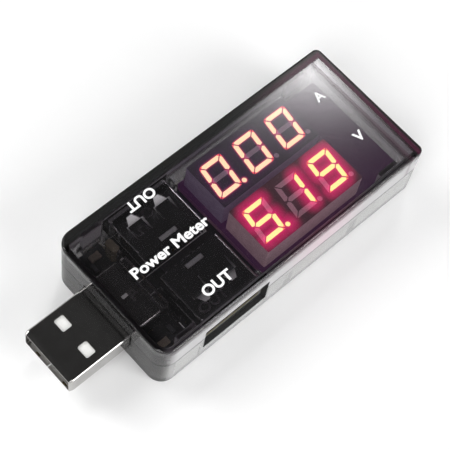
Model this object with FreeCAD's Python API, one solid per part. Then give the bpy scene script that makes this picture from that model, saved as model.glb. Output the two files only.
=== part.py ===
"""USB power meter: an in-line plug, two back-to-back sockets and two three-digit displays.

Millimetres. +X runs from the plug to the display end, +Y to the side of the current display,
+Z up. The origin is under the middle of the whole object, on the surface it rests on.
Every sub-part is written to parts/NAME.step.
"""

import FreeCAD, Part

import math
import os

# ---------------------------------------------------------------- driving dimensions

BODY_LENGTH = 62.0
BODY_WIDTH = 28.0
BODY_HEIGHT = 14.0
PLUG_REACH = 13.0  # how far the plug stands out of the case
PARTING_Z = 8.0  # height of the joint line between case and cover

WALL = 1.3
FLOOR = 1.2
ROOF = 1.2
PLUG_END_RADIUS = 3.0  # plan radius of the two corners beside the plug
DISPLAY_END_RADIUS = 1.2
BOTTOM_EDGE_RADIUS = 0.8
TOP_EDGE_RADIUS = 0.5
LIP_HEIGHT = 1.6
LIP_THICKNESS = 0.6
FIT_GAP = 0.05  # between mating moulded faces

BOARD_THICKNESS = 1.6
BOARD_BOTTOM = 2.0
BOARD_EDGE_GAP = 0.3
DISPLAY_BOARD_THICKNESS = 1.2
DISPLAY_BOARD_BOTTOM = 5.4
HEADER_PINS = 8  # the row that joins the boards, under the gap between the displays
HEADER_PITCH = 2.54
HEADER_WIDTH = 2.0
HEADER_PIN = 0.6

SHEET = 0.3  # folded plated steel of plug and sockets
PLUG_WIDTH = 12.0
PLUG_HEIGHT = 4.5
PLUG_TAIL = 6.8  # length of the plug inside the case
CONNECTOR_MID_Z = 6.9
CONTACT_OFFSETS = (-3.5, -1.0, 1.0, 3.5)  # the standard places of the four contacts
CONTACT_WIDTH = 1.0

SOCKET_WIDTH = 13.1
SOCKET_HEIGHT = 6.0
SOCKET_LENGTH = 11.2
SOCKET_X = -7.45
NEAR_MOUTH_Y = -12.5
FAR_MOUTH_Y = 13.7
FLARE_SIDE = 0.6
FLARE_HEIGHT = 0.3
FLARE_DEPTH = 0.9
PORT_WIDTH = 14.7
PORT_BOTTOM = 3.45
PORT_TOP = 10.35

DISPLAY_LENGTH = 23.0
DISPLAY_WIDTH = 10.1
DISPLAY_HEIGHT = 6.1
DISPLAY_GAP = 1.0
DISPLAY_X = 13.75
DISPLAY_WALL = 0.8
DIGIT_HEIGHT = 7.1
DIGIT_WIDTH = 5.0
DIGIT_PITCH = 7.75
DIGIT_SLANT = math.radians(8.0)
SEGMENT_WIDTH = 0.95
SEGMENT_GAP = 0.14
SEGMENT_DEPTH = 1.2
SEGMENT_RECESS = 0.04
POINT_RADIUS = 0.48
POINT_OFFSET = (2.75, -3.2)
CURRENT_READING = "000"
VOLTAGE_READING = "519"
LIT_POINT = 0  # the decimal point after the first digit

SNAP_XS = (-18.0, 30.0)
SNAP_WIDTH = 4.0
SNAP_THICKNESS = 0.85
SNAP_BOTTOM = 5.3
SNAP_CATCH = 0.4
LOCATOR_PLACES = ((-21.2, -10.6), (-21.2, 10.6), (31.5, -10.4), (31.5, 10.4))
LOCATOR_RADIUS = 0.6

# ---------------------------------------------------------------- derived dimensions

BODY_X0 = (PLUG_REACH - BODY_LENGTH) / 2
BODY_X1 = BODY_X0 + BODY_LENGTH
PLUG_TIP_X = BODY_X0 - PLUG_REACH
HALF_WIDTH = BODY_WIDTH / 2
INNER_Y = HALF_WIDTH - WALL
INNER_X0 = BODY_X0 + WALL
INNER_X1 = BODY_X1 - WALL
ROOF_Z = BODY_HEIGHT - ROOF
BOARD_TOP = BOARD_BOTTOM + BOARD_THICKNESS
DISPLAY_BOARD_TOP = DISPLAY_BOARD_BOTTOM + DISPLAY_BOARD_THICKNESS
DISPLAY_TOP = DISPLAY_BOARD_TOP + DISPLAY_HEIGHT
DISPLAY_Y = (DISPLAY_WIDTH + DISPLAY_GAP) / 2
SOCKET_BOTTOM = CONNECTOR_MID_Z - SOCKET_HEIGHT / 2
PLUG_BOTTOM = CONNECTOR_MID_Z - PLUG_HEIGHT / 2
PLUG_TAIL_X = BODY_X0 + PLUG_TAIL
LEG_BOTTOM = 1.4  # lowest point of every soldered leg, just above the floor

# ---------------------------------------------------------------- helpers


def vec(x, y, z=0.0):
    return FreeCAD.Vector(x, y, z)


def box(x0, x1, y0, y1, z0, z1):
    """A box from its two corners."""
    return Part.makeBox(x1 - x0, y1 - y0, z1 - z0, vec(x0, y0, z0))


def centred_box(x, y, length, width, z0, z1):
    """A box from the middle of its plan."""
    return box(x - length / 2, x + length / 2, y - width / 2, y + width / 2, z0, z1)


def cylinder(x, y, radius, z0, z1):
    return Part.makeCylinder(radius, z1 - z0, vec(x, y, z0))


def fuse(shapes):
    """One shape from several that touch or overlap."""
    first, *rest = shapes
    return first.multiFuse(rest).removeSplitter() if rest else first


def cut(shape, tools):
    return shape.cut(Part.makeCompound(tools)) if tools else shape


def prism(points, z0, z1):
    """A straight solid over a polygon in plan."""
    corners = [vec(x, y, z0) for x, y in points]
    wire = Part.makePolygon(corners + corners[:1])
    return Part.Face(wire).extrude(vec(0, 0, z1 - z0))


def rounded_wire(x0, x1, y0, y1, z, left_radius, right_radius):
    """A rectangle in plan with one radius at its low-X corners and another at its high-X corners."""
    corners = (
        (x0, y0, left_radius, (0, 1), (1, 0)),
        (x1, y0, right_radius, (-1, 0), (0, 1)),
        (x1, y1, right_radius, (0, -1), (-1, 0)),
        (x0, y1, left_radius, (1, 0), (0, -1)),
    )
    starts, edges, arcs = [], [], []
    for x, y, radius, back, ahead in corners:
        before = vec(x + back[0] * radius, y + back[1] * radius, z)
        after = vec(x + ahead[0] * radius, y + ahead[1] * radius, z)
        inset = radius * (1 - math.sqrt(0.5))
        middle = vec(x + (back[0] + ahead[0]) * inset, y + (back[1] + ahead[1]) * inset, z)
        starts.append((before, after))
        arcs.append(Part.Arc(before, middle, after).toShape())
    for index, arc in enumerate(arcs):
        end_of_arc = starts[index][1]
        next_start = starts[(index + 1) % len(starts)][0]
        edges.append(arc)
        edges.append(Part.LineSegment(end_of_arc, next_start).toShape())
    return Part.Wire(edges)


def body_block(inset, z0, z1):
    """The case's plan, drawn in by inset all round, as a solid from z0 to z1."""
    wire = rounded_wire(
        BODY_X0 + inset,
        BODY_X1 - inset,
        inset - HALF_WIDTH,
        HALF_WIDTH - inset,
        z0,
        PLUG_END_RADIUS - inset,
        max(DISPLAY_END_RADIUS - inset, 0.3),
    )
    return Part.Face(wire).extrude(vec(0, 0, z1 - z0))


def edges_at(shape, z):
    """The edges that lie wholly at one height."""
    return [e for e in shape.Edges if abs(e.BoundBox.ZMin - z) < 1e-6 and abs(e.BoundBox.ZMax - z) < 1e-6]


def lies_outside(edge, half):
    """True for an edge at the outer side of a moulding that is two halves wide, off its mid plane."""
    bounds = edge.BoundBox
    at_side = abs(abs(bounds.YMin) - half) < 1e-3 and bounds.YLength < 1e-3
    return at_side and abs(bounds.ZMin - CONNECTOR_MID_Z) > 0.1


def section_along_x(x, width, height, radius, mid_z):
    """A rounded rectangle across X, centred on the connector line."""
    wire = rounded_wire(-width / 2, width / 2, -height / 2, height / 2, 0, radius, radius)
    wire.rotate(vec(0, 0, 0), vec(1, 1, 1), 120)
    wire.translate(vec(x, 0, mid_z))
    return wire


def section_along_y(y, width, height, radius, mid_z):
    """A rounded rectangle across Y, for the sockets in their own frame."""
    wire = rounded_wire(-width / 2, width / 2, -height / 2, height / 2, 0, radius, radius)
    wire.rotate(vec(0, 0, 0), vec(1, 0, 0), 90)
    wire.translate(vec(0, y, mid_z))
    return wire


# ---------------------------------------------------------------- case and cover


def port_openings():
    """The two side openings in front of the sockets."""
    x0, x1 = SOCKET_X - PORT_WIDTH / 2, SOCKET_X + PORT_WIDTH / 2
    reach = HALF_WIDTH + 1
    return [
        box(x0, x1, -reach, 0.2 - INNER_Y, PORT_BOTTOM, PORT_TOP),
        box(x0, x1, INNER_Y - 0.2, reach, PORT_BOTTOM, PORT_TOP),
    ]


def plug_opening():
    """The slot in the end wall round the plug."""
    gap = 0.2
    half = PLUG_WIDTH / 2 + gap
    top = PLUG_BOTTOM + PLUG_HEIGHT + gap
    return box(BODY_X0 - 1, INNER_X0 + 0.1, -half, half, PLUG_BOTTOM - 0.6, top)


def display_rests():
    """Four ribs on the side walls that carry the display board."""
    ribs = []
    for x in (DISPLAY_X - 8, DISPLAY_X + 8):
        for side in (-1, 1):
            low, high = sorted((side * 10.6, side * (INNER_Y + 0.2)))
            ribs.append(box(x - 1, x + 1, low, high, FLOOR - 0.2, DISPLAY_BOARD_BOTTOM))
    return ribs


def port_ribs():
    """Upright ribs on each side of both sockets, which keep them square in their openings."""
    half = PORT_WIDTH / 2
    ribs = []
    for x0 in (SOCKET_X - half - 0.85, SOCKET_X + half + 0.15):
        for side in (-1, 1):
            low, high = sorted((side * 10.5, side * (INNER_Y + 0.2)))
            ribs.append(box(x0, x0 + 0.7, low, high, FLOOR - 0.2, PARTING_Z - 0.2))
    return ribs


def rib_notches():
    """Clearance in the main board for the ribs that pass it."""
    notches = []
    for rib in display_rests() + port_ribs():
        b = rib.BoundBox
        inner, outer = (b.YMin - 0.2, b.YMax + 1) if b.YMin > 0 else (b.YMin - 1, b.YMax + 0.2)
        notches.append(box(b.XMin - 0.2, b.XMax + 0.2, inner, outer, BOARD_BOTTOM - 1, BOARD_TOP + 1))
    return notches


def lower_case():
    outer = body_block(0, 0, PARTING_Z)
    outer = outer.makeFillet(BOTTOM_EDGE_RADIUS, edges_at(outer, 0))
    lip = body_block(WALL - LIP_THICKNESS, PARTING_Z - 0.5, PARTING_Z + LIP_HEIGHT)
    hollow = body_block(WALL, FLOOR, BODY_HEIGHT)
    shell = fuse([outer, lip]).cut(hollow)
    inside = display_rests() + port_ribs()
    for x, y in LOCATOR_PLACES:
        inside.append(cylinder(x, y, 1.5, FLOOR - 0.2, BOARD_BOTTOM))
        inside.append(cylinder(x, y, LOCATOR_RADIUS, FLOOR, BOARD_TOP - 0.1))
    shell = fuse([shell] + inside)
    pockets = []
    for x in SNAP_XS:
        for side in (-1, 1):
            low, high = sorted((side * (INNER_Y - 0.1), side * (INNER_Y + 0.5)))
            pockets.append(box(x - 2.6, x + 2.6, low, high, SNAP_BOTTOM, SNAP_BOTTOM + 1.5))
    return cut(shell, port_openings() + [plug_opening()] + pockets)


def snap_hook(x, side):
    """A hook that hangs from the roof just inside the wall, with a sloped catch near its end."""
    face = INNER_Y - 0.1
    profile = [
        (face - SNAP_THICKNESS, ROOF_Z + 0.2),
        (face, ROOF_Z + 0.2),
        (face, SNAP_BOTTOM + 1.3),
        (face + SNAP_CATCH, SNAP_BOTTOM + 1.3),
        (face + SNAP_CATCH, SNAP_BOTTOM + 1.0),
        (face - 0.1, SNAP_BOTTOM + 0.1),
        (face - SNAP_THICKNESS, SNAP_BOTTOM + 0.1),
    ]
    corners = [vec(x - SNAP_WIDTH / 2, side * y, z) for y, z in profile]
    face_of_hook = Part.Face(Part.makePolygon(corners + corners[:1]))
    return face_of_hook.extrude(vec(SNAP_WIDTH, 0, 0))


def upper_cover():
    outer = body_block(0, PARTING_Z, BODY_HEIGHT)
    outer = outer.makeFillet(TOP_EDGE_RADIUS, edges_at(outer, BODY_HEIGHT))
    hollow = body_block(WALL, PARTING_Z - 1, ROOF_Z)
    rabbet = body_block(WALL - LIP_THICKNESS - FIT_GAP, PARTING_Z - 1, PARTING_Z + LIP_HEIGHT + FIT_GAP)
    shell = outer.cut(hollow).cut(rabbet)
    hooks = [snap_hook(x, side) for x in SNAP_XS for side in (-1, 1)]
    hold_down = box(-17.35, -16.75, -9.5, 6.0, 9.4, ROOF_Z + 0.2)
    shell = fuse([shell, hold_down] + hooks)
    return cut(shell, port_openings() + [plug_opening()])


# ---------------------------------------------------------------- boards


def soldered_legs():
    """Plan places and sizes (x, y, length, width) of every leg that passes the main board."""
    legs = []
    for mouth, ahead in ((NEAR_MOUTH_Y, 1), (FAR_MOUTH_Y, -1)):
        for depth in (3.2, 9.0):
            for side in (-1, 1):
                x = SOCKET_X + side * (SOCKET_WIDTH - SHEET) / 2
                legs.append((x, mouth + ahead * depth, SHEET, 1.2))
        for offset in CONTACT_OFFSETS:
            legs.append((SOCKET_X + offset, mouth + ahead * 10.62, 0.5, 0.24))
    for side in (-1, 1):
        legs.append((PLUG_TAIL_X - 2.6, side * (PLUG_WIDTH - SHEET) / 2, 1.8, SHEET))
    for offset in CONTACT_OFFSETS:
        legs.append((PLUG_TAIL_X + 0.55, offset, 0.24, 0.5))
    return legs


def header_places():
    """Plan places of the pins that join the boards."""
    return [(DISPLAY_X + (index - 3.5) * HEADER_PITCH, 0) for index in range(HEADER_PINS)]


def display_pin_places(display_y):
    """Two rows of six pins under one display."""
    return [
        (DISPLAY_X + (index - 2.5) * 2.54, display_y + row * 3.81) for row in (-1, 1) for index in range(6)
    ]


def main_board():
    gap = BOARD_EDGE_GAP
    wire = rounded_wire(INNER_X0 + gap, INNER_X1 - gap, gap - INNER_Y, INNER_Y - gap, BOARD_BOTTOM, 1.6, 0.8)
    board = Part.Face(wire).extrude(vec(0, 0, BOARD_THICKNESS))
    holes = [cylinder(x, y, LOCATOR_RADIUS + 0.1, 0, 5) for x, y in LOCATOR_PLACES]
    holes += [cylinder(x, y, 0.5, 0, 5) for x, y in header_places()]
    for x, y, length, width in soldered_legs():
        holes.append(centred_box(x, y, length + 0.3, width + 0.3, 0, 5))
    return cut(board, holes + rib_notches())


def display_board():
    wire = rounded_wire(1.3, 35.4, -11.4, 11.4, DISPLAY_BOARD_BOTTOM, 0.6, 0.6)
    board = Part.Face(wire).extrude(vec(0, 0, DISPLAY_BOARD_THICKNESS))
    places = display_pin_places(DISPLAY_Y) + display_pin_places(-DISPLAY_Y)
    holes = [cylinder(x, y, 0.4, 4, 8) for x, y in places]
    holes += [cylinder(x, y, 0.5, 4, 8) for x, y in header_places()]
    return cut(board, holes)


def header_pins():
    low, high = LEG_BOTTOM, DISPLAY_BOARD_TOP + 0.7
    pins = [centred_box(x, y, HEADER_PIN, HEADER_PIN, low, high) for x, y in header_places()]
    return Part.makeCompound(pins)


def header_body():
    length = HEADER_PINS * HEADER_PITCH
    block = centred_box(DISPLAY_X, 0, length, HEADER_WIDTH, BOARD_TOP, DISPLAY_BOARD_BOTTOM)
    notches = []
    for index in range(1, HEADER_PINS):
        x = DISPLAY_X - length / 2 + index * HEADER_PITCH
        for side in (-1, 1):
            notches.append(centred_box(x, side * HEADER_WIDTH / 2, 0.6, 0.6, BOARD_TOP - 1, 6))
    return cut(block, notches + [header_pins()])


# ---------------------------------------------------------------- plug


def plug_shell():
    tip, taper = PLUG_TIP_X, 0.7
    inner = (PLUG_WIDTH - 2 * SHEET, PLUG_HEIGHT - 2 * SHEET, 0.25)
    mid = CONNECTOR_MID_Z
    nose = [
        section_along_x(tip, PLUG_WIDTH - 0.5, PLUG_HEIGHT - 0.5, 0.3, mid),
        section_along_x(tip + taper, PLUG_WIDTH, PLUG_HEIGHT, 0.5, mid),
    ]
    outer = Part.makeLoft(nose, True, True)
    barrel = Part.Face(nose[1]).extrude(vec(PLUG_TAIL_X - tip - taper, 0, 0))
    bore = Part.Face(section_along_x(tip + taper - 0.2, *inner, mid)).extrude(vec(40, 0, 0))
    mouth = Part.makeLoft(
        [
            section_along_x(tip - 0.01, inner[0] - 0.3, inner[1] - 0.3, 0.2, mid),
            section_along_x(tip + taper - 0.15, *inner, mid),
        ],
        True,
        True,
    )
    shell = fuse([outer, barrel]).cut(bore).cut(mouth)
    openings = []
    for y in (-3.05, 3.05):
        window = centred_box(PLUG_TIP_X + 5.9, y, 2.0, 2.6, 0, BODY_HEIGHT)
        uprights = [e for e in window.Edges if abs(e.Length - BODY_HEIGHT) < 1e-6]
        openings.append(window.makeFillet(0.35, uprights))
    openings.append(box(tip - 1, PLUG_TAIL_X + 1, -0.06, 0.06, PLUG_BOTTOM - 1, PLUG_BOTTOM + 1))
    openings.append(centred_box(BODY_X0 + 3.9, 0.1, 1.2, 0.7, mid, BODY_HEIGHT))
    shell = cut(shell, openings)
    legs = []
    for side in (-1, 1):
        y = side * (PLUG_WIDTH - SHEET) / 2
        legs.append(centred_box(PLUG_TAIL_X - 2.6, y, 1.8, SHEET, LEG_BOTTOM, PLUG_BOTTOM + 1.0))
    return fuse([shell] + legs)


def plug_contact(offset):
    """A flat contact under the tongue, a shank through the block and a leg down to the board."""
    half = CONTACT_WIDTH / 2
    bottom = CONNECTOR_MID_Z - 0.05
    top = bottom + 0.24
    start = PLUG_TIP_X + (1.9 if abs(offset) > 2 else 2.9)
    leg_x = PLUG_TAIL_X + 0.55
    blade = box(start, leg_x + 0.12, offset - half, offset + half, bottom, top)
    leg = centred_box(leg_x, offset, 0.24, 0.5, LEG_BOTTOM, top)
    return fuse([blade, leg])


def plug_contacts():
    return Part.makeCompound([plug_contact(offset) for offset in CONTACT_OFFSETS])


def plug_insulator():
    half = PLUG_WIDTH / 2 - SHEET - FIT_GAP
    floor = PLUG_BOTTOM + SHEET + FIT_GAP
    roof = PLUG_BOTTOM + PLUG_HEIGHT - SHEET - FIT_GAP
    tongue = box(PLUG_TIP_X + 0.7, PLUG_TAIL_X - 1, -half, half, CONNECTOR_MID_Z, roof)
    block = box(PLUG_TIP_X + 11, PLUG_TAIL_X, -half, half, floor, roof)
    body = fuse([tongue, block])
    front = [e for e in edges_at(body, CONNECTOR_MID_Z) if e.BoundBox.XMax < PLUG_TIP_X + 1]
    body = body.makeChamfer(0.3, front)
    body = body.makeFillet(0.3, [e for e in body.Edges if e.BoundBox.XLength > 5 and lies_outside(e, half)])
    grooves = []
    for offset in CONTACT_OFFSETS:
        start = PLUG_TIP_X + (1.8 if abs(offset) > 2 else 2.8)
        half_groove = CONTACT_WIDTH / 2 + FIT_GAP
        low, high = CONNECTOR_MID_Z - 0.1, CONNECTOR_MID_Z + 0.25
        grooves.append(box(start, PLUG_TAIL_X + 1, offset - half_groove, offset + half_groove, low, high))
    return cut(body, grooves)


# ---------------------------------------------------------------- sockets

# Each socket is drawn with its mouth at y = 0, its body towards +y and its underside at z = 0.

SPRING_X0, SPRING_X1 = 1.4, 4.7  # the spring tongues, either side of the middle
SPRING_ROOT, SPRING_END, WINDOW_END = 7.3, 4.3, 2.8
WINDOW_BASE, WINDOW_TIP = 2.7, 1.1  # widths of the tapered window ahead of a spring tongue
SLIT = 0.35
TONGUE_TOP = SOCKET_HEIGHT / 2 + 1.89
TONGUE_BOTTOM = SOCKET_HEIGHT / 2 + 0.05
BASE_FRONT, BASE_BACK = 7.6, 10.4


def spring_openings(side):
    """The slits round one spring tongue and the tapered window ahead of its free end."""
    x0, x1 = sorted((side * SPRING_X0, side * SPRING_X1))
    middle = (x0 + x1) / 2
    slits = box(x0 - SLIT / 2, x1 + SLIT / 2, SPRING_END, SPRING_ROOT, -1, SOCKET_HEIGHT + 1)
    window = prism(
        [
            (middle - WINDOW_BASE / 2, SPRING_END + 0.05),
            (middle + WINDOW_BASE / 2, SPRING_END + 0.05),
            (middle + WINDOW_TIP / 2, WINDOW_END),
            (middle - WINDOW_TIP / 2, WINDOW_END),
        ],
        -1,
        SOCKET_HEIGHT + 1,
    )
    return [slits, window]


def spring_tongue(side, upper):
    """One cantilever tongue, bent inwards, with its tip turned back out."""
    x0, x1 = sorted((side * SPRING_X0, side * SPRING_X1))
    dip, kick = 0.42, 0.2
    root, bend, tip = SPRING_ROOT, SPRING_END + 0.75, SPRING_END + 0.12
    top, under = SOCKET_HEIGHT, SOCKET_HEIGHT - SHEET
    profile = [
        (root + 0.4, top),
        (root + 0.4, under),
        (root, under),
        (bend, under - dip),
        (tip, under - dip + kick),
        (tip, top - dip + kick),
        (bend, top - dip),
        (root, top),
    ]
    left = x0 + SLIT / 2
    width = x1 - x0 - SLIT
    corners = [vec(left, y, z if upper else SOCKET_HEIGHT - z) for y, z in profile]
    return Part.Face(Part.makePolygon(corners + corners[:1])).extrude(vec(width, 0, 0))


def socket_shell_local():
    mid = SOCKET_HEIGHT / 2
    wide, tall = SOCKET_WIDTH + 2 * FLARE_SIDE, SOCKET_HEIGHT + 2 * FLARE_HEIGHT
    inner_wide, inner_tall = SOCKET_WIDTH - 2 * SHEET, SOCKET_HEIGHT - 2 * SHEET
    flare = Part.makeLoft(
        [
            section_along_y(0, wide, tall, 0.7, mid),
            section_along_y(FLARE_DEPTH, SOCKET_WIDTH, SOCKET_HEIGHT, 0.5, mid),
        ],
        True,
        True,
    )
    barrel = Part.Face(section_along_y(FLARE_DEPTH, SOCKET_WIDTH, SOCKET_HEIGHT, 0.5, mid))
    outer = fuse([flare, barrel.extrude(vec(0, SOCKET_LENGTH - FLARE_DEPTH, 0))])
    bore = Part.Face(section_along_y(FLARE_DEPTH - 0.1, inner_wide, inner_tall, 0.25, mid))
    throat = Part.makeLoft(
        [
            section_along_y(-0.01, wide - 2 * SHEET, tall - 2 * SHEET, 0.45, mid),
            section_along_y(FLARE_DEPTH, inner_wide, inner_tall, 0.25, mid),
        ],
        True,
        True,
    )
    shell = outer.cut(bore.extrude(vec(0, SOCKET_LENGTH - FLARE_DEPTH - SHEET + 0.1, 0))).cut(throat)
    openings = []
    for side in (-1, 1):
        openings += spring_openings(side)
        openings.append(box(*sorted((side * 5, side * 8)), 4.4, 7.2, mid - 1.1, mid + 1.1))
    openings.append(box(-1.9, 1.9, 9.2, 10.2, mid, SOCKET_HEIGHT + 1))
    openings.append(box(-4.6, 4.6, 9.6, SOCKET_LENGTH + 1, -1, 2.4))
    shell = cut(shell, openings)
    added = [spring_tongue(side, upper) for side in (-1, 1) for upper in (True, False)]
    for side in (-1, 1):
        x = side * (SOCKET_WIDTH - SHEET) / 2
        added.append(centred_box(x, 5.9, SHEET, 3.2, mid - 0.8, mid + 0.8))
        for depth in (3.2, 9.0):
            added.append(centred_box(x, depth, SHEET, 1.2, LEG_BOTTOM - SOCKET_BOTTOM, 1.0))
    return fuse([shell] + added)


def socket_contact(offset):
    """A bowed leaf under the tongue, a shank through the base and a leg behind it."""
    low, high = TONGUE_BOTTOM - 0.3, TONGUE_BOTTOM - 0.06
    bow = 0.45
    profile = [
        (1.5, high),
        (2.3, high),
        (3.6, high - bow),
        (4.4, high - bow),
        (BASE_FRONT, high),
        (10.74, high),
        (10.74, LEG_BOTTOM - SOCKET_BOTTOM),
        (10.5, LEG_BOTTOM - SOCKET_BOTTOM),
        (10.5, low),
        (BASE_FRONT, low),
        (4.4, low - bow),
        (3.6, low - bow),
        (2.3, low),
        (1.5, low),
    ]
    corners = [vec(offset - 0.25, y, z) for y, z in profile]
    leaf = Part.Face(Part.makePolygon(corners + corners[:1])).extrude(vec(0.5, 0, 0))
    widening = box(offset - 0.5, offset + 0.5, 1.5, 2.3, low, high)
    return fuse([leaf, widening])


def socket_contacts_local():
    return Part.makeCompound([socket_contact(offset) for offset in CONTACT_OFFSETS])


def socket_insulator_local():
    inset = SHEET + FIT_GAP
    half = SOCKET_WIDTH / 2 - inset
    wire = section_along_y(BASE_FRONT, 2 * half, SOCKET_HEIGHT - 2 * inset, 0.3, SOCKET_HEIGHT / 2)
    base = Part.Face(wire).extrude(vec(0, BASE_BACK - BASE_FRONT, 0))
    tongue = box(-5.5, 5.5, 1.0, BASE_FRONT + 0.5, TONGUE_BOTTOM, TONGUE_TOP)
    tongue = tongue.makeChamfer(0.3, [e for e in tongue.Edges if e.BoundBox.YMax < 1.01])
    tab = box(-1.8, 1.8, 9.3, 10.1, SOCKET_HEIGHT / 2, SOCKET_HEIGHT - 0.08)
    body = fuse([base, tongue, tab])
    grooves = []
    for offset in CONTACT_OFFSETS:
        grooves.append(box(offset - 0.3, offset + 0.3, 1, 11, TONGUE_BOTTOM - 0.35, TONGUE_BOTTOM - 0.01))
    return cut(body, grooves)


def place_near(shape):
    shape.translate(vec(SOCKET_X, NEAR_MOUTH_Y, SOCKET_BOTTOM))
    return shape


def place_far(shape):
    shape.rotate(vec(0, 0, 0), vec(0, 0, 1), 180)
    shape.translate(vec(SOCKET_X, FAR_MOUTH_Y, SOCKET_BOTTOM))
    return shape


# ---------------------------------------------------------------- displays

SEGMENTS_OF_NUMERAL = {
    "0": "abcdef",
    "1": "bc",
    "5": "acdfg",
    "9": "abcdfg",
}


def segment_outlines():
    """The seven bars of a digit as {letter: outline}, upright and centred on the digit."""
    half_width = (DIGIT_WIDTH - SEGMENT_WIDTH) / 2
    half_height = (DIGIT_HEIGHT - SEGMENT_WIDTH) / 2
    half_bar = SEGMENT_WIDTH / 2
    long_bar = half_width - SEGMENT_GAP

    def level(y, upper, lower):
        """A level bar, whose upper and lower corners run out or in at 45 degrees."""
        return [
            (-long_bar, y),
            (-long_bar - upper * half_bar, y + half_bar),
            (long_bar + upper * half_bar, y + half_bar),
            (long_bar, y),
            (long_bar + lower * half_bar, y - half_bar),
            (-long_bar - lower * half_bar, y - half_bar),
        ]

    def upright(side, corner_y, middle_y):
        """An upright bar from a corner of the digit, where it is mitred, to the digit's middle."""
        x = side * half_width
        outer, inner = x + side * half_bar, x - side * half_bar
        up = 1 if corner_y > 0 else -1
        return [
            (x, corner_y),
            (outer, corner_y + up * half_bar),
            (outer, middle_y + up * 0.4 * half_bar),
            (x, middle_y),
            (inner, middle_y + up * half_bar),
            (inner, corner_y - up * half_bar),
        ]

    top, gap = half_height, SEGMENT_GAP
    return {
        "a": level(top, 1, -1),
        "d": level(-top, -1, 1),
        "g": level(0, -1, -1),
        "b": upright(1, top - gap, gap),
        "f": upright(-1, top - gap, gap),
        "c": upright(1, gap - top, -gap),
        "e": upright(-1, gap - top, -gap),
    }


def display_shapes(display_y, reading):
    """The lit and the unlit bars and points of one display, each a list of solids."""
    z0 = DISPLAY_TOP - SEGMENT_DEPTH
    z1 = DISPLAY_TOP - SEGMENT_RECESS
    slant = math.tan(DIGIT_SLANT)
    lit, dark = [], []
    for index, numeral in enumerate(reading):
        x = DISPLAY_X + (index - 1) * DIGIT_PITCH - 0.15
        for letter, outline in segment_outlines().items():
            leaning = [(x + px + py * slant, display_y + py) for px, py in outline]
            group = lit if letter in SEGMENTS_OF_NUMERAL[numeral] else dark
            group.append(prism(leaning, z0, z1))
        group = lit if index == LIT_POINT else dark
        group.append(cylinder(x + POINT_OFFSET[0], display_y + POINT_OFFSET[1], POINT_RADIUS, z0, z1))
    return lit, dark


def display_housing(display_y, bars):
    z0, z1 = DISPLAY_BOARD_TOP, DISPLAY_TOP
    block = centred_box(DISPLAY_X, display_y, DISPLAY_LENGTH, DISPLAY_WIDTH, z0, z1)
    block = block.makeFillet(0.25, [e for e in block.Edges if abs(e.Length - DISPLAY_HEIGHT) < 1e-6])
    inset = 2 * DISPLAY_WALL
    cavity = centred_box(
        DISPLAY_X, display_y, DISPLAY_LENGTH - inset, DISPLAY_WIDTH - inset, z0 - 1, z1 - SEGMENT_DEPTH - 0.3
    )
    wells = []
    for bar in bars:
        mouth = bar.copy()
        mouth.translate(vec(0, 0, SEGMENT_RECESS + 0.01))
        wells.append(bar.fuse(mouth).removeSplitter())
    return cut(block, [cavity] + wells)


def display_pins(display_y):
    top = DISPLAY_BOARD_TOP + 2.2
    places = display_pin_places(display_y)
    return Part.makeCompound([centred_box(x, y, 0.45, 0.45, 4.5, top) for x, y in places])


def display_potting(display_y):
    inset = 2 * DISPLAY_WALL + 2 * FIT_GAP
    z0 = DISPLAY_BOARD_TOP + 0.3
    block = centred_box(DISPLAY_X, display_y, DISPLAY_LENGTH - inset, DISPLAY_WIDTH - inset, z0, z0 + 2.4)
    return block.cut(display_pins(display_y))


# ---------------------------------------------------------------- electronics

CHIP_LEADS, CHIP_PITCH = 10, 0.65
CHIP_LENGTH, CHIP_WIDTH, CHIP_HEIGHT = 7.2, 5.3, 1.45
CHIP_X, CHIP_Y = 13.75, -5.55


def controller_chip():
    body = centred_box(CHIP_X, CHIP_Y, CHIP_LENGTH, CHIP_WIDTH, BOARD_TOP + 0.1, BOARD_TOP + 0.1 + CHIP_HEIGHT)
    top_edges = edges_at(body, BOARD_TOP + 0.1 + CHIP_HEIGHT)
    body = body.makeChamfer(0.2, top_edges)
    mark = cylinder(CHIP_X - CHIP_LENGTH / 2 + 0.9, CHIP_Y - 1.7, 0.35, BOARD_TOP + CHIP_HEIGHT, 6)
    return body.cut(mark)


def controller_leads():
    leads = []
    for side in (-1, 1):
        for index in range(CHIP_LEADS):
            x = CHIP_X + (index - (CHIP_LEADS - 1) / 2) * CHIP_PITCH - 0.13
            near = CHIP_Y + side * CHIP_WIDTH / 2
            profile = [
                (near, BOARD_TOP + 0.75),
                (near + side * 0.5, BOARD_TOP + 0.75),
                (near + side * 0.7, BOARD_TOP + 0.15),
                (near + side * 1.25, BOARD_TOP + 0.15),
                (near + side * 1.25, BOARD_TOP),
                (near + side * 0.6, BOARD_TOP),
                (near + side * 0.4, BOARD_TOP + 0.6),
                (near, BOARD_TOP + 0.6),
            ]
            corners = [vec(x, y, z) for y, z in profile]
            leads.append(Part.Face(Part.makePolygon(corners + corners[:1])).extrude(vec(0.26, 0, 0)))
    return Part.makeCompound(leads)


def chip_with_caps(x, y, length, width, height, turned):
    """A chip resistor or capacitor: its body with two slightly fuller metal end caps, as one solid."""
    cap, proud = length * 0.2, 0.03
    body = box(-length / 2 + 0.05, length / 2 - 0.05, -width / 2 + proud, width / 2 - proud, proud, height - proud)
    ends = []
    for side in (-1, 1):
        x0, x1 = sorted((side * length / 2, side * (length / 2 - cap)))
        ends.append(box(x0, x1, -width / 2, width / 2, 0, height))
    part = fuse([body] + ends)
    if turned:
        part.rotate(vec(0, 0, 0), vec(0, 0, 1), 90)
    part.translate(vec(x, y, BOARD_TOP))
    return part


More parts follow.
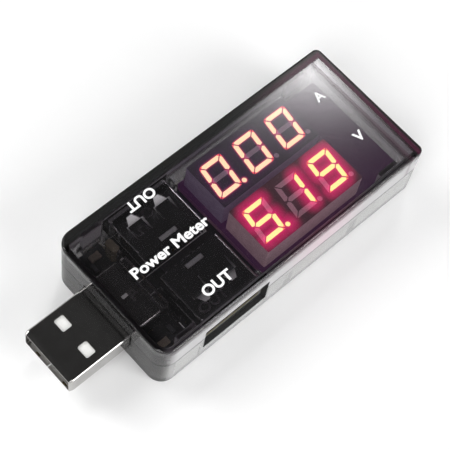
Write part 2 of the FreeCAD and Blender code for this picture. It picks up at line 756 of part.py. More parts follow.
def chip_resistors():
    places = [
        (-19.6, 9.0, True),
        (-16.9, -8.0, True),
        (-15.6, 3.8, True),
        (-15.6, 1.6, True),
        (4.2, 2.6, True),
        (4.2, -3.4, True),
        (9.6, 5.4, False),
        (12.4, 5.4, False),
        (15.2, 5.4, False),
        (18.0, 5.4, False),
        (22.6, 5.4, True),
        (22.6, -3.2, True),
    ]
    return Part.makeCompound([chip_with_caps(x, y, 1.6, 0.8, 0.45, turned) for x, y, turned in places])


def chip_capacitors():
    places = [(-19.6, -9.2, False), (-18.2, 10.6, False), (4.2, 6.0, True), (22.6, -7.6, True), (24.6, 0.0, True)]
    return Part.makeCompound([chip_with_caps(x, y, 2.0, 1.25, 0.85, turned) for x, y, turned in places])


def shunt_resistor():
    return chip_with_caps(SOCKET_X, 0.6, 6.3, 2.4, 0.6, False)


def voltage_regulator():
    """A small three-legged package."""
    x, y = -15.7, -3.2
    body = centred_box(x, y, 1.5, 2.9, BOARD_TOP + 0.1, BOARD_TOP + 1.15)
    body = body.makeChamfer(0.15, edges_at(body, BOARD_TOP + 1.15))
    legs = []
    for side, offset in ((-1, -0.95), (-1, 0.95), (1, 0)):
        x0, x1 = sorted((x + side * 0.7, x + side * 1.2))
        legs.append(box(x0, x1, y + offset - 0.2, y + offset + 0.2, BOARD_TOP, BOARD_TOP + 0.3))
    return fuse([body] + legs)


def standing_capacitor():
    """A dipped capacitor that stands between the plug and the far socket."""
    x, y, length, width = -15.75, 9.0, 1.6, 2.9
    body = centred_box(x, y, length, width, BOARD_TOP + 0.6, BOARD_TOP + 4.6)
    uprights = [e for e in body.Edges if abs(e.Length - 4.0) < 1e-6]
    body = body.makeFillet(0.7, uprights)
    body = body.makeFillet(0.35, edges_at(body, BOARD_TOP + 4.6))
    legs = [cylinder(x, y + side * 0.9, 0.22, BOARD_TOP, BOARD_TOP + 1.0) for side in (-1, 1)]
    return fuse([body] + legs)


def solder_joints():
    """A cone of solder round each leg under the main board, and round each display pin."""
    joints = []
    for x, y, length, width in soldered_legs():
        reach = 0.35 + max(length, width) / 2
        cone = Part.makeCone(reach - 0.25, reach, BOARD_BOTTOM - LEG_BOTTOM - 0.1, vec(x, y, LEG_BOTTOM + 0.1))
        joints.append(cone.cut(centred_box(x, y, length, width, 0, 5)))
    for x, y in header_places():
        pin = centred_box(x, y, HEADER_PIN, HEADER_PIN, 0, 9)
        cone = Part.makeCone(0.55, 0.85, BOARD_BOTTOM - LEG_BOTTOM - 0.1, vec(x, y, LEG_BOTTOM + 0.1))
        joints.append(cone.cut(pin))
        cone = Part.makeCone(0.48, 0.45, 0.4, vec(x, y, DISPLAY_BOARD_TOP))
        joints.append(cone.cut(pin))
    for x, y in display_pin_places(DISPLAY_Y) + display_pin_places(-DISPLAY_Y):
        cone = Part.makeCone(0.4, 0.7, 0.6, vec(x, y, DISPLAY_BOARD_BOTTOM - 0.6))
        joints.append(cone.cut(centred_box(x, y, 0.45, 0.45, 0, 9)))
    return Part.makeCompound(joints)


# ---------------------------------------------------------------- assembly


def all_parts():
    """Every sub-part as {node name: shape}."""
    parts = {
        "upper_cover": upper_cover(),
        "lower_case": lower_case(),
        "main_board": main_board(),
        "display_board": display_board(),
        "header_body": header_body(),
        "header_pins": header_pins(),
        "plug_shell": plug_shell(),
        "plug_insulator": plug_insulator(),
        "plug_contacts": plug_contacts(),
    }
    for side, place in (("near", place_near), ("far", place_far)):
        parts[f"{side}_socket_shell"] = place(socket_shell_local())
        parts[f"{side}_socket_insulator"] = place(socket_insulator_local())
        parts[f"{side}_socket_contacts"] = place(socket_contacts_local())
    displays = (("current", DISPLAY_Y, CURRENT_READING), ("voltage", -DISPLAY_Y, VOLTAGE_READING))
    for name, display_y, reading in displays:
        lit, dark = display_shapes(display_y, reading)
        parts[f"{name}_display_housing"] = display_housing(display_y, lit + dark)
        parts[f"{name}_display_lit_segments"] = Part.makeCompound(lit)
        parts[f"{name}_display_dark_segments"] = Part.makeCompound(dark)
        parts[f"{name}_display_potting"] = display_potting(display_y)
        parts[f"{name}_display_pins"] = display_pins(display_y)
    parts["controller_chip"] = controller_chip()
    parts["controller_leads"] = controller_leads()
    parts["voltage_regulator"] = voltage_regulator()
    parts["shunt_resistor"] = shunt_resistor()
    parts["chip_resistors"] = chip_resistors()
    parts["chip_capacitors"] = chip_capacitors()
    parts["standing_capacitor"] = standing_capacitor()
    parts["solder_joints"] = solder_joints()
    return parts


os.makedirs("parts", exist_ok=True)
for name, shape in all_parts().items():
    shape.exportStep(f"parts/{name}.step")
    extent = shape.BoundBox
    print(
        f"{name}: {len(shape.Solids)} solids, valid {shape.isValid()}, "
        f"{extent.XLength:.2f} x {extent.YLength:.2f} x {extent.ZLength:.2f} mm"
    )
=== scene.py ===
"""USB power meter: finishes, printed markings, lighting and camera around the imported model.

Everything is in metres in the model's own frame: +X runs from the plug to the display end,
+Y to the side of the current display, +Z up. Lengths are written in millimetres times MM.
"""

import logging
import math
from dataclasses import dataclass, field
from enum import Enum
from typing import Any

import bpy
from mathutils import Matrix, Vector


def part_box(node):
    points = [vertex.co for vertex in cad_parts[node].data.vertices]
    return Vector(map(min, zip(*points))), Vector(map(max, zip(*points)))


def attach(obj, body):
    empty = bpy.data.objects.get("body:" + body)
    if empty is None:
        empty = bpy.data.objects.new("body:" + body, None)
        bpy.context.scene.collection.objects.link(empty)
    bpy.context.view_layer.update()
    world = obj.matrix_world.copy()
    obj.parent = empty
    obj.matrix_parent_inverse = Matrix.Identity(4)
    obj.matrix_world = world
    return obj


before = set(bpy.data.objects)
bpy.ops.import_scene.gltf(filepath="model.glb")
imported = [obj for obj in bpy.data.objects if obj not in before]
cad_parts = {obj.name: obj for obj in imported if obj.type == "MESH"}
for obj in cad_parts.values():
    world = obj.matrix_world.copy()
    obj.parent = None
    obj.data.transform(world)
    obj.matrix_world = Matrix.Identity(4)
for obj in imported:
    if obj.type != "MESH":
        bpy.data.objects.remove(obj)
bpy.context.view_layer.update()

MM = 0.001
BODY = "root"
Colour = tuple[float, float, float]
BLACK: Colour = (0.0, 0.0, 0.0)
log = logging.getLogger("power_meter")


# ---------------------------------------------------------------- shader maths


class Value:
    """A number that changes over a surface. Arithmetic on it adds Math nodes."""

    def __init__(self, graph: "Graph", socket: bpy.types.NodeSocket) -> None:
        """Wraps one output socket.

        Args:
            graph: The node tree that the socket belongs to.
            socket: The output that carries the number.
        """
        self.graph = graph
        self.socket = socket

    def maths(self, operation: str, *others: Any) -> "Value":
        """Adds one Math node with this value as its first input.

        Args:
            operation: The Math node's operation.
            others: The second and third inputs, as values or numbers.

        Returns:
            The node's result.
        """
        inputs = dict(enumerate((self, *others)))
        return self.graph.value("Math", {"operation": operation}, inputs)

    def __add__(self, other: Any) -> "Value":
        """The sum."""
        return self.maths("ADD", other)

    def __mul__(self, other: Any) -> "Value":
        """The product."""
        return self.maths("MULTIPLY", other)

    def __sub__(self, other: Any) -> "Value":
        """The difference."""
        return self.maths("SUBTRACT", other)

    def __rsub__(self, other: float) -> "Value":
        """The difference, from a number."""
        return self.graph.value("Math", {"operation": "SUBTRACT"}, {0: other, 1: self})

    def __truediv__(self, other: Any) -> "Value":
        """The quotient."""
        return self.maths("DIVIDE", other)

    def __pow__(self, other: float) -> "Value":
        """The power."""
        return self.maths("POWER", other)

    def __abs__(self) -> "Value":
        """The size without its sign."""
        return self.maths("ABSOLUTE")

    __radd__ = __add__
    __rmul__ = __mul__

    def at_least(self, other: Any) -> "Value":
        """The greater of the two."""
        return self.maths("MAXIMUM", other)

    def at_most(self, other: Any) -> "Value":
        """The lesser of the two."""
        return self.maths("MINIMUM", other)

    def ramp(self, low: float, high: float) -> "Value":
        """Goes smoothly from 0 at low to 1 at high, or down if high is the lesser.

        Args:
            low: The value that gives 0.
            high: The value that gives 1.

        Returns:
            The smooth step.
        """
        settings = {"interpolation_type": "SMOOTHSTEP"}
        return self.graph.value("MapRange", settings, {"Value": self, "From Min": low, "From Max": high})


class Graph:
    """The node tree of a material or of the surroundings."""

    def __init__(self, owner: bpy.types.Material | bpy.types.World) -> None:
        """Empties the owner's tree.

        Args:
            owner: The material or world that the tree belongs to.
        """
        owner.use_nodes = True
        self.tree = owner.node_tree
        self.tree.nodes.clear()

    def node(self, kind: str, settings: dict[str, Any], inputs: dict[Any, Any]) -> bpy.types.Node:
        """Adds a node of any type.

        Args:
            kind: The node's type without "ShaderNode".
            settings: What is set on the node itself.
            inputs: Its inputs by name or index, as numbers, colours, values, sockets or nodes.

        Returns:
            The new node.
        """
        made = self.tree.nodes.new("ShaderNode" + kind)
        for name, setting in settings.items():
            setattr(made, name, setting)
        for key, given in inputs.items():
            self._feed(made.inputs[key], given)
        return made

    def value(self, kind: str, settings: dict[str, Any], inputs: dict[Any, Any], output: Any = 0) -> Value:
        """Adds a node and wraps one of its outputs.

        Args:
            kind: The node's type without "ShaderNode".
            settings: What is set on the node itself.
            inputs: Its inputs by name or index.
            output: The name or index of the output to wrap.

        Returns:
            The wrapped output.
        """
        return Value(self, self.node(kind, settings, inputs).outputs[output])

    def _feed(self, socket: bpy.types.NodeSocket, given: Any) -> None:
        """Links an input or sets its number or colour.

        Args:
            socket: The input.
            given: A value, node or socket to link, or a number, colour or vector to set.
        """
        if isinstance(given, Value):
            self.tree.links.new(given.socket, socket)
        elif isinstance(given, bpy.types.Node):
            self.tree.links.new(given.outputs[0], socket)
        elif isinstance(given, bpy.types.NodeSocket):
            self.tree.links.new(given, socket)
        elif socket.type == "RGBA":
            socket.default_value = (*given, 1.0)
        else:
            socket.default_value = given

    def place(self) -> Value:
        """The point on the surface in millimetres, in the model's frame."""
        where = self.node("TexCoord", {}, {}).outputs["Object"]
        return self.value("VectorMath", {"operation": "SCALE"}, {0: where, "Scale": 1 / MM})

    def parts(self, vector: Value) -> list[Value]:
        """A vector's three numbers."""
        split = self.node("SeparateXYZ", {}, {0: vector})
        return [Value(self, output) for output in split.outputs]

    def noise(self, where: Value, scale: float, detail: float = 3.0, stretch: Colour = (1, 1, 1)) -> Value:
        """Smooth noise, from 0 to 1.

        Args:
            where: The place in millimetres.
            scale: How many features there are to a millimetre.
            detail: How many finer layers are added.
            stretch: How far the pattern is scaled along each axis.

        Returns:
            The noise.
        """
        drawn = self.value("Mapping", {}, {"Vector": where, "Scale": stretch})
        return self.value("TexNoise", {}, {"Vector": drawn, "Scale": scale, "Detail": detail})

    def cells(self, where: Value, scale: float) -> Value:
        """The distance to the middle of the nearest of many scattered cells."""
        return self.value("TexVoronoi", {"feature": "F1"}, {"Vector": where, "Scale": scale}, "Distance")

    def blend(self, share: Any, a: Any, b: Any) -> Value:
        """A colour between a and b.

        Args:
            share: 0 for a, 1 for b.
            a: A colour, or a value that carries one.
            b: The other colour.

        Returns:
            The mixed colour.
        """
        settings = {"data_type": "RGBA", "clamp_factor": True}
        return self.value("Mix", settings, {0: share, 6: a, 7: b}, 2)

    def upright(self) -> Value:
        """Tells upright faces from level ones.

        Returns:
            1 on faces that stand upright and 0 on level ones.
        """
        normal = self.node("NewGeometry", {}, {}).outputs["Normal"]
        level = self.parts(Value(self, normal))[2]
        return abs(level).ramp(0.75, 0.35)

    def bump(self, height: Value, depth: float) -> Value:
        """A normal from a height pattern that is depth millimetres deep."""
        return self.value("Bump", {}, {"Height": height, "Strength": 1.0, "Distance": depth * MM}, "Normal")

    def surface(self, inputs: dict[str, Any]) -> bpy.types.Node:
        """A Principled shader with these inputs."""
        return self.node("BsdfPrincipled", {}, inputs)

    def mix(self, share: Any, a: bpy.types.Node, b: bpy.types.Node) -> bpy.types.Node:
        """Two shaders mixed."""
        return self.node("MixShader", {}, {0: share, 1: a, 2: b})

    def finish(self, shader: bpy.types.Node, volume: bpy.types.Node | None = None) -> None:
        """Puts the shader on the material's output.

        Args:
            shader: The surface shader.
            volume: The shader of the inside, if there is one.
        """
        inputs: dict[str, Any] = {"Surface": shader}
        if volume is not None:
            inputs["Volume"] = volume
        self.node("OutputMaterial", {}, inputs)


# ---------------------------------------------------------------- finishes


@dataclass(frozen=True)
class Finish:
    """A named finish that can make its material."""

    name: str

    def draw(self, graph: Graph) -> None:
        """Adds the finish's nodes to a graph."""
        raise NotImplementedError

    def material(self) -> bpy.types.Material:
        """Makes the material once and then uses it again.

        Returns:
            The material.
        """
        known = bpy.data.materials.get("finish_" + self.name)
        if known is not None:
            return known
        made = bpy.data.materials.new("finish_" + self.name)
        self.draw(Graph(made))
        return made


@dataclass(frozen=True)
class Moulded(Finish):
    """An opaque moulded, fired or dipped body with a fine skin."""

    colour: Colour
    worn: Colour
    roughness: float = 0.45
    grain: float = 9.0
    relief: float = 0.012
    coat: float = 0.0

    def tone(self, graph: Graph, place: Value, blotches: Value) -> Value:
        """The colour of the body at a place."""
        return graph.blend(blotches, self.colour, self.worn)

    def light(self, graph: Graph, place: Value) -> dict[str, Any]:
        """The shader's inputs for light from inside the body: none."""
        return {}

    def draw(self, graph: Graph) -> None:
        """Colour with slow drift and fine specks over a grained skin.

        Args:
            graph: The graph to add the nodes to.
        """
        place = graph.place()
        drift = graph.noise(place, 0.35, 2)
        specks = graph.noise(place, self.grain, 4)
        blotches = drift * 0.6 + specks.ramp(0.45, 0.8) * 0.5
        graph.finish(
            graph.surface(
                {
                    "Base Color": self.tone(graph, place, blotches),
                    "Roughness": self.roughness + (specks - 0.5) * 0.25,
                    "Normal": graph.bump(specks, self.relief),
                    "Coat Weight": self.coat,
                    **self.light(graph, place),
                }
            )
        )


@dataclass(frozen=True)
class SocketBlock(Moulded):
    """A socket's moulded block: pale at its mouth, with painted shade toward its root and a painted glow just
    inside the far mouth.
    """

    root_shade: Colour = (0.30, 0.30, 0.30)
    painted_glow: float = 0.45
    root: float = 7.0
    mouth: float = 9.0
    mouth_depth: float = 1.5

    def tone(self, graph: Graph, place: Value, blotches: Value) -> Value:
        """The moulded colour with painted shade, darker away from the mouth."""
        # Painted shade: the block darkens toward its root, away from the mouth.
        outward = abs(graph.parts(place)[1]).ramp(self.root, self.mouth)
        return graph.blend(outward, self.root_shade, super().tone(graph, place, blotches))

    def light(self, graph: Graph, place: Value) -> dict[str, Any]:
        """A painted glow on the tongue just inside the far mouth, in place of light coming in from that
        mouth.

        Args:
            graph: The graph to add the nodes to.
            place: The point on the surface in millimetres.

        Returns:
            The shader's inputs for the glow.
        """
        # Painted light: only the far side's tongue glows, just inside its mouth.
        across = graph.parts(place)[1].ramp(self.mouth, self.mouth + self.mouth_depth)
        glow = graph.blend(across, BLACK, (self.painted_glow, self.painted_glow, self.painted_glow))
        return {"Emission Color": glow, "Emission Strength": 1.0}


@dataclass(frozen=True)
class Plated(Finish):
    """Plated or tinned metal with rolling marks along one axis."""

    colour: Colour
    dull: Colour
    roughness: float = 0.25
    stretch: Colour = (0.15, 6.0, 6.0)
    relief: float = 0.004
    lumps: float = 0.0
    # Painted shade: how much darker the metal is made below a height, its colour and that height.
    low_shade: float = 0.0
    low_shade_colour: Colour = (0.02, 0.02, 0.02)
    low_shade_top: float = 7.5
    unevenness: float = 0.25

    def draw(self, graph: Graph) -> None:
        """Metal whose shine varies along its rolling marks and in dull patches, with optional painted shade
        low down.

        Args:
            graph: The graph to add the nodes to.
        """
        place = graph.place()
        marks = graph.noise(place, 2.2, 4, self.stretch)
        patches = graph.noise(place, 0.5, 3)
        fine = graph.noise(place, 14.0, 2)
        colour = graph.blend(patches.ramp(0.35, 0.75) * 0.5 + fine * 0.12, self.colour, self.dull)
        # Painted shade: the metal darkens below the given height, standing in for the shade deep in the
        # socket.
        if self.low_shade:
            low = graph.parts(place)[2].ramp(self.low_shade_top, self.low_shade_top - 1.0)
            colour = graph.blend(low * self.low_shade, colour, self.low_shade_colour)
        shine = marks * 0.6 + patches * 0.4 - 0.5
        height = marks + fine * 0.3 + graph.noise(place, 2.5, 2) * self.lumps
        graph.finish(
            graph.surface(
                {
                    "Base Color": colour,
                    "Metallic": 1.0,
                    "Roughness": self.roughness * shine * self.unevenness + self.roughness,
                    "Normal": graph.bump(height, self.relief),
                }
            )
        )


@dataclass(frozen=True)
class CircuitBoard(Finish):
    """Dark solder resist over copper, with bare woven laminate at the cut edges."""

    resist: Colour
    copper: Colour
    laminate: Colour
    # Painted light: an even glow, standing in for the displays' light on the board.
    glow: Colour = BLACK
    glow_strength: float = 0.0
    relief: float = 0.006

    def draw(self, graph: Graph) -> None:
        """Traces, vias and a faint weave under glossy resist.

        Args:
            graph: The graph to add the nodes to.
        """
        place = graph.place()
        x, y, _ = graph.parts(place)
        lanes = graph.noise(place, 0.28, 0)
        along = (y * 0.9 + lanes * 9.0).maths("PINGPONG", 0.5)
        across = (x * 0.7 + lanes * 7.0).maths("PINGPONG", 0.5)
        traces = along.ramp(0.40, 0.46).at_least(across.ramp(0.42, 0.47) * lanes.ramp(0.5, 0.52))
        vias = graph.cells(place, 0.55).ramp(0.16, 0.12)
        weave = graph.noise(place, 3.0, 1) * 0.5
        raised = traces * 0.8 + vias * 0.5 + weave * 0.15
        skin = graph.blend(raised * 0.55, self.resist, self.copper)
        edge = graph.upright()
        colour = graph.blend(edge, skin, graph.blend(weave + 0.2, self.laminate, self.resist))
        graph.finish(
            graph.surface(
                {
                    "Base Color": colour,
                    "Roughness": 0.3 + edge * 0.35 + weave * 0.15,
                    "Normal": graph.bump(raised, self.relief),
                    "Emission Color": self.glow,
                    "Emission Strength": self.glow_strength,
                }
            )
        )


@dataclass(frozen=True)
class ClearPlastic(Finish):
    """Polished see-through plastic that darkens with the length that light goes in it.

    Lengths are in millimetres. Heights are above the floor.
    """

    tint: Colour
    density: float
    milk: Colour
    haze: float
    wall_haze: float
    band: tuple[float, float]
    # How strongly the walls at the plug end take their painted shade.
    plug_end_shade_share: float
    glow: Colour
    glow_reach: float = 10.0
    glow_stretch: tuple[float, float] = (0.55, 0.9)
    glow_core: float = 2.0
    dull_milk: Colour = (0.3, 0.3, 0.3)
    # The colour of the painted shade at the plug end.
    plug_end_shade_colour: Colour = (0.03, 0.03, 0.03)
    gloss: float = 0.02
    index: float = 1.49
    wall_depth: tuple[float, float] = (2.7, 2.3)
    plug_end_depth: tuple[float, float] = (0.8, 3.5)
    shade: Colour = (0.008, 0.008, 0.008)
    shade_lit: Colour = (0.05, 0.008, 0.024)
    shade_gloss: float = 0.15
    rim: float = 0.0
    rim_width: float = 1.6
    rim_softness: float = 0.15
    far_narrowing: float = 0.8
    lit_rim: tuple[float, float] = (0.5, 0.9)
    lit_rim_start: tuple[float, float] = (15.0, 36.0)
    gap_shade: float = 0.4
    gap_side: tuple[float, float] = (33.7, 34.0)
    gap_end: tuple[float, float] = (34.7, 34.4)
    port_reach: float = 7.5
    port_softness: float = 0.1
    port_low: tuple[float, float] = (3.2, 3.35)
    port_high: tuple[float, float] = (10.6, 10.45)
    port_inner: tuple[float, float] = (12.74, 12.8)
    port_outer: tuple[float, float] = (13.97, 13.93)
    port_shading: float = 0.92
    parting: float = 8.0
    parting_width: tuple[float, float] = (0.22, 0.10)
    parting_shading: float = 0.55

    def outer(self, x: Value, y: Value) -> Value:
        """Tells the outer walls from what stands inside them.

        Args:
            x: The place along the object.
            y: The place across it.

        Returns:
            1 in the outer walls and 0 inside them.
        """
        low, high = (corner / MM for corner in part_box("upper_cover"))
        inward = (high.x - x).at_most(x - low.x).at_most(high.y - abs(y))
        return inward.ramp(*self.wall_depth)

    def port_shade(self, x: Value, y: Value, z: Value) -> Value:
        """Marks the shaded edges of the two ports' openings.

        Args:
            x: The place along the object.
            y: The place across it.
            z: The height.

        Returns:
            1 on the shaded edges and 0 elsewhere.
        """
        low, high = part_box("near_socket_shell")
        middle, reach = (low + high).x / 2 / MM, self.port_reach
        within = abs(x - middle).ramp(reach + self.port_softness, reach)
        within = within * z.ramp(*self.port_low) * z.ramp(*self.port_high)
        return within * abs(y).ramp(*self.port_inner) * abs(y).ramp(*self.port_outer)

    def parting_line(self, graph: Graph, z: Value) -> Value:
        """1 on the thin dark line where the cover meets the case."""
        return graph.upright() * abs(z - self.parting).ramp(*self.parting_width)

    def display_light(self, x: Value, y: Value) -> Value:
        """How strongly the voltage display lights the plastic.

        Args:
            x: The place along the object.
            y: The place across it.

        Returns:
            0 far away and 1 close by.
        """
        low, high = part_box("voltage_display_housing")
        middle = (low + high) / 2 / MM
        along, across = self.glow_stretch
        aside = ((x - middle.x) * along) ** 2.0 + ((y - middle.y) * across) ** 2.0
        return (aside ** 0.5).ramp(self.glow_reach, self.glow_core)

    def shade_rim(self, graph: Graph, where: tuple[Value, Value], shader: bpy.types.Node) -> bpy.types.Node:
        """Paints shade on the roof along its far and right edges and over the gap inside its end wall, with
        painted display light in the rim toward the display end.

        Args:
            graph: The graph to add the nodes to.
            where: The place along the object and across it.
            shader: The plastic without its rim.

        Returns:
            The plastic with its rim.
        """
        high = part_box("upper_cover")[1] / MM
        x, y = where
        inward = (high.x - x).at_most((high.y - y) * self.far_narrowing)
        # Painted display light: the rim turns maroon toward the display end.
        lit = inward.ramp(*self.lit_rim) * x.ramp(*self.lit_rim_start)
        end_gap = (x.ramp(*self.gap_side) * x.ramp(*self.gap_end)) * self.gap_shade
        shade = graph.surface(
            {
                "Base Color": graph.blend(lit, self.shade, self.shade_lit),
                "Roughness": 0.45,
                "Specular IOR Level": self.shade_gloss,
            }
        )
        # Painted shade: a dark sheet over the roof's rim.
        covered = inward.ramp(self.rim_width + self.rim_softness, self.rim_width - self.rim_softness)
        covered = covered * (1.0 - graph.upright())
        return graph.mix(covered.at_least(end_gap) * self.rim, shader, shade)

    def draw(self, graph: Graph) -> None:
        """Clear refracting body, milky walls with painted shade at the plug end, and a little painted display
        light.

        Args:
            graph: The graph to add the nodes to.
        """
        place = graph.place()
        x, y, z = graph.parts(place)
        swirl = graph.noise(place, 0.25, 3)
        scuffs = graph.noise(place, 1.5, 1, (0.2, 2.0, 1.0)).ramp(0.62, 0.8)
        low, high = self.band
        plug_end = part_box("upper_cover")[0].x / MM
        wall = graph.upright() * z.ramp(low - 0.8, low + 0.4) * z.ramp(high + 0.6, high - 0.4)
        # Painted shade: toward the plug end the walls are covered more, and their colour turns dark.
        along = x.ramp(plug_end + self.plug_end_depth[0], plug_end + self.plug_end_depth[1])
        wall = wall * (along * (1 - self.plug_end_shade_share) + self.plug_end_shade_share) * self.outer(x, y)
        haze = self.haze * (0.7 + swirl * 0.6) + wall * self.wall_haze * (0.9 + swirl * 0.2) + scuffs * 0.002
        milk = graph.blend(swirl * 0.25, self.milk, self.dull_milk)
        body = graph.surface(
            {
                "Base Color": graph.blend(along, self.plug_end_shade_colour, milk),
                "Roughness": 0.5,
                # Painted light: the plastic glows pink near the voltage display.
                "Emission Color": graph.blend(self.display_light(x, y), BLACK, self.glow),
                "Emission Strength": 1.0,
            }
        )
        glass = graph.surface(
            {
                "Base Color": self.tint,
                "Roughness": self.gloss + scuffs * 0.02,
                "IOR": self.index,
                "Transmission Weight": 1.0,
            }
        )
        clear = graph.node("BsdfTransparent", {}, {"Color": self.tint})
        lamps = graph.node("LightPath", {}, {}).outputs["Is Shadow Ray"]
        shader = graph.mix(haze, graph.mix(lamps, glass, clear), body)
        if self.rim:
            shader = self.shade_rim(graph, (x, y), shader)
        # Painted shade on the ports' edges, also used for the dark parting line where the cover meets the
        # case.
        shade_and_joint = graph.surface(
            {
                "Base Color": self.shade,
                "Roughness": 0.6,
                "Specular IOR Level": self.shade_gloss,
            }
        )
        line = self.parting_line(graph, z) * self.outer(x, y) * self.parting_shading
        shaded = (self.port_shade(x, y, z) * self.port_shading).at_least(line)
        shader = graph.mix(shaded, shader, shade_and_joint)
        volume = graph.node("VolumeAbsorption", {}, {"Color": self.tint, "Density": self.density / MM})
        graph.finish(shader, volume)


@dataclass(frozen=True)
class Resin(Finish):
    """Cast potting resin, cloudy and glossy."""

    colour: Colour
    cloud: Colour

    def draw(self, graph: Graph) -> None:
        """Clouds and trapped bubbles under a glossy surface.

        Args:
            graph: The graph to add the nodes to.
        """
        place = graph.place()
        clouds = graph.noise(place, 0.5, 4)
        bubbles = graph.cells(place, 1.6).ramp(0.22, 0.1)
        graph.finish(
            graph.surface(
                {
                    "Base Color": graph.blend(clouds + bubbles * 0.3, self.colour, self.cloud),
                    "Roughness": 0.18 + clouds * 0.15,
                    "Normal": graph.bump(bubbles + clouds, 0.03),
                }
            )
        )


@dataclass(frozen=True)
class Ink(Finish):
    """Pad-printed ink, slightly uneven."""

    colour: Colour
    thin: Colour

    def draw(self, graph: Graph) -> None:
        """Nearly even ink with thin spots and a dry surface.

        Args:
            graph: The graph to add the nodes to.
        """
        place = graph.place()
        film = graph.noise(place, 5.0, 4)
        graph.finish(
            graph.surface(
                {
                    "Base Color": graph.blend(film.ramp(0.6, 0.9) * 0.6, self.colour, self.thin),
                    "Roughness": 0.5 + film * 0.2,
                    "Normal": graph.bump(film, 0.006),
                }
            )
        )


@dataclass(frozen=True)
class Paper(Finish):
    """The pale studio floor."""

    colour: Colour
    shade: Colour

    def draw(self, graph: Graph) -> None:
        """A matt sheet with the faintest mottling.

        Args:
            graph: The graph to add the nodes to.
        """
        place = graph.place()
        fibre = graph.noise(place, 0.2, 4)
        graph.finish(
            graph.surface({"Base Color": graph.blend(fibre * 0.3, self.colour, self.shade), "Roughness": 0.9})
        )


# ---------------------------------------------------------------- display finishes

BARS_OF_NUMERAL = {"0": "abcdef", "1": "bc", "5": "acdfg", "9": "abcdfg"}


@dataclass(frozen=True)
class DigitLayout:
    """Where the bars of a display's three digits are, in millimetres."""

    reading: str
    centre: tuple[float, float]
    pitch: float = 7.75
    shift: float = -0.15
    half_width: float = 2.025
    half_height: float = 3.075
    slant: float = math.radians(8.0)
    bar_ease: float = 0.45
    point: tuple[float, float] = (2.75, -3.2)

    def distance(self, graph: Graph, place: Value) -> Value:
        """The distance in plan to the middle line of the nearest lit bar or point.

        Args:
            graph: The graph to add the nodes to.
            place: The point on the surface in millimetres.

        Returns:
            The distance in millimetres.
        """
        x, y, _ = graph.parts(place)
        up = y - self.centre[1]
        nearest = None
        for index, numeral in enumerate(self.reading):
            lean = x - (self.centre[0] + (index - 1) * self.pitch + self.shift) - up * math.tan(self.slant)
            for square in self._bars(lean, up, BARS_OF_NUMERAL[numeral]):
                nearest = square if nearest is None else nearest.at_most(square)
        spot_x = x - (self.centre[0] - self.pitch + self.shift + self.point[0])
        spot_y = up - self.point[1]
        nearest = nearest.at_most(spot_x * spot_x + spot_y * spot_y)
        return nearest ** 0.5

    def _bars(self, lean: Value, up: Value, letters: str) -> list[Value]:
        """The squared distance to each lit bar of one digit.

        Args:
            lean: The place across the digit, with its slant taken out.
            up: The place up the digit.
            letters: The letters of the bars that are lit.

        Returns:
            One squared distance for each lit bar.
        """
        found = []
        past = (abs(lean) - (self.half_width - self.bar_ease)).at_least(0.0)
        past = past * past
        for letter, level in (("a", self.half_height), ("g", 0.0), ("d", -self.half_height)):
            if letter in letters:
                away = up - level
                found.append(past + away * away)
        reach = self.half_height / 2 - self.bar_ease
        for pair, middle in (("fb", self.half_height / 2), ("ec", -self.half_height / 2)):
            beyond = (abs(up - middle) - reach).at_least(0.0)
            beyond = beyond * beyond
            for letter, side in zip(pair, (-self.half_width, self.half_width)):
                if letter in letters:
                    away = lean - side
                    found.append(beyond + away * away)
        return found


@dataclass(frozen=True)
class Glow:
    """How a display's light spreads over its face."""

    core: Colour
    rim: Colour
    halo: Colour
    halo_reach: float
    wash: Colour
    wash_reach: float
    strength: float


@dataclass(frozen=True)
class LitBar(Finish):
    """A glowing bar, palest along its middle line."""

    layout: DigitLayout
    glow: Glow

    def draw(self, graph: Graph) -> None:
        """A milky lens lit from below.

        Args:
            graph: The graph to add the nodes to.
        """
        place = graph.place()
        away = self.layout.distance(graph, place)
        flicker = graph.noise(place, 1.6, 3) * 0.25
        rim = (away + flicker * 0.3 - 0.05).ramp(0.36, 0.52)
        colour = graph.blend(rim, self.glow.core, self.glow.rim)
        graph.finish(
            graph.surface(
                {
                    "Base Color": graph.blend(rim, (0.9, 0.6, 0.5), self.glow.rim),
                    "Roughness": 0.35 + flicker,
                    "Emission Color": colour,
                    "Emission Strength": self.glow.strength,
                }
            )
        )


@dataclass(frozen=True)
class DisplayBody(Finish):
    """The housing, or the unlit bars, of a display: a face washed by its own light and paler sides."""

    layout: DigitLayout
    glow: Glow
    face: Colour
    side: Colour
    side_glow: Colour
    roughness: float = 0.35

    def draw(self, graph: Graph) -> None:
        """Printed face with light round the lit bars, over moulded sides.

        Args:
            graph: The graph to add the nodes to.
        """
        place = graph.place()
        away = self.layout.distance(graph, place)
        edge = graph.upright()
        mottle = graph.noise(place, 1.2, 4)
        halo = away.ramp(self.glow.halo_reach, 0.4)
        wash = away.ramp(self.glow.wash_reach, 0.3) * (0.75 + mottle * 0.5)
        light = graph.blend(wash, BLACK, self.glow.wash)
        light = graph.blend(halo, light, self.glow.halo)
        light = graph.blend(edge, light, graph.blend(mottle * 0.5, self.side_glow, BLACK))
        colour = graph.blend(edge, self.face, graph.blend(mottle * 0.6, self.side, self.face))
        grain = graph.noise(place, 8.0, 3)
        graph.finish(
            graph.surface(
                {
                    "Base Color": graph.blend(grain * 0.25, colour, self.side),
                    "Roughness": self.roughness + grain * 0.2,
                    "Normal": graph.bump(grain, 0.008),
                    "Emission Color": light,
                    "Emission Strength": 1.0,
                }
            )
        )


# ---------------------------------------------------------------- modelling helpers


class Turn(Enum):
    """Which way printed words read."""

    ALONG = 0.0
    BACK = math.pi


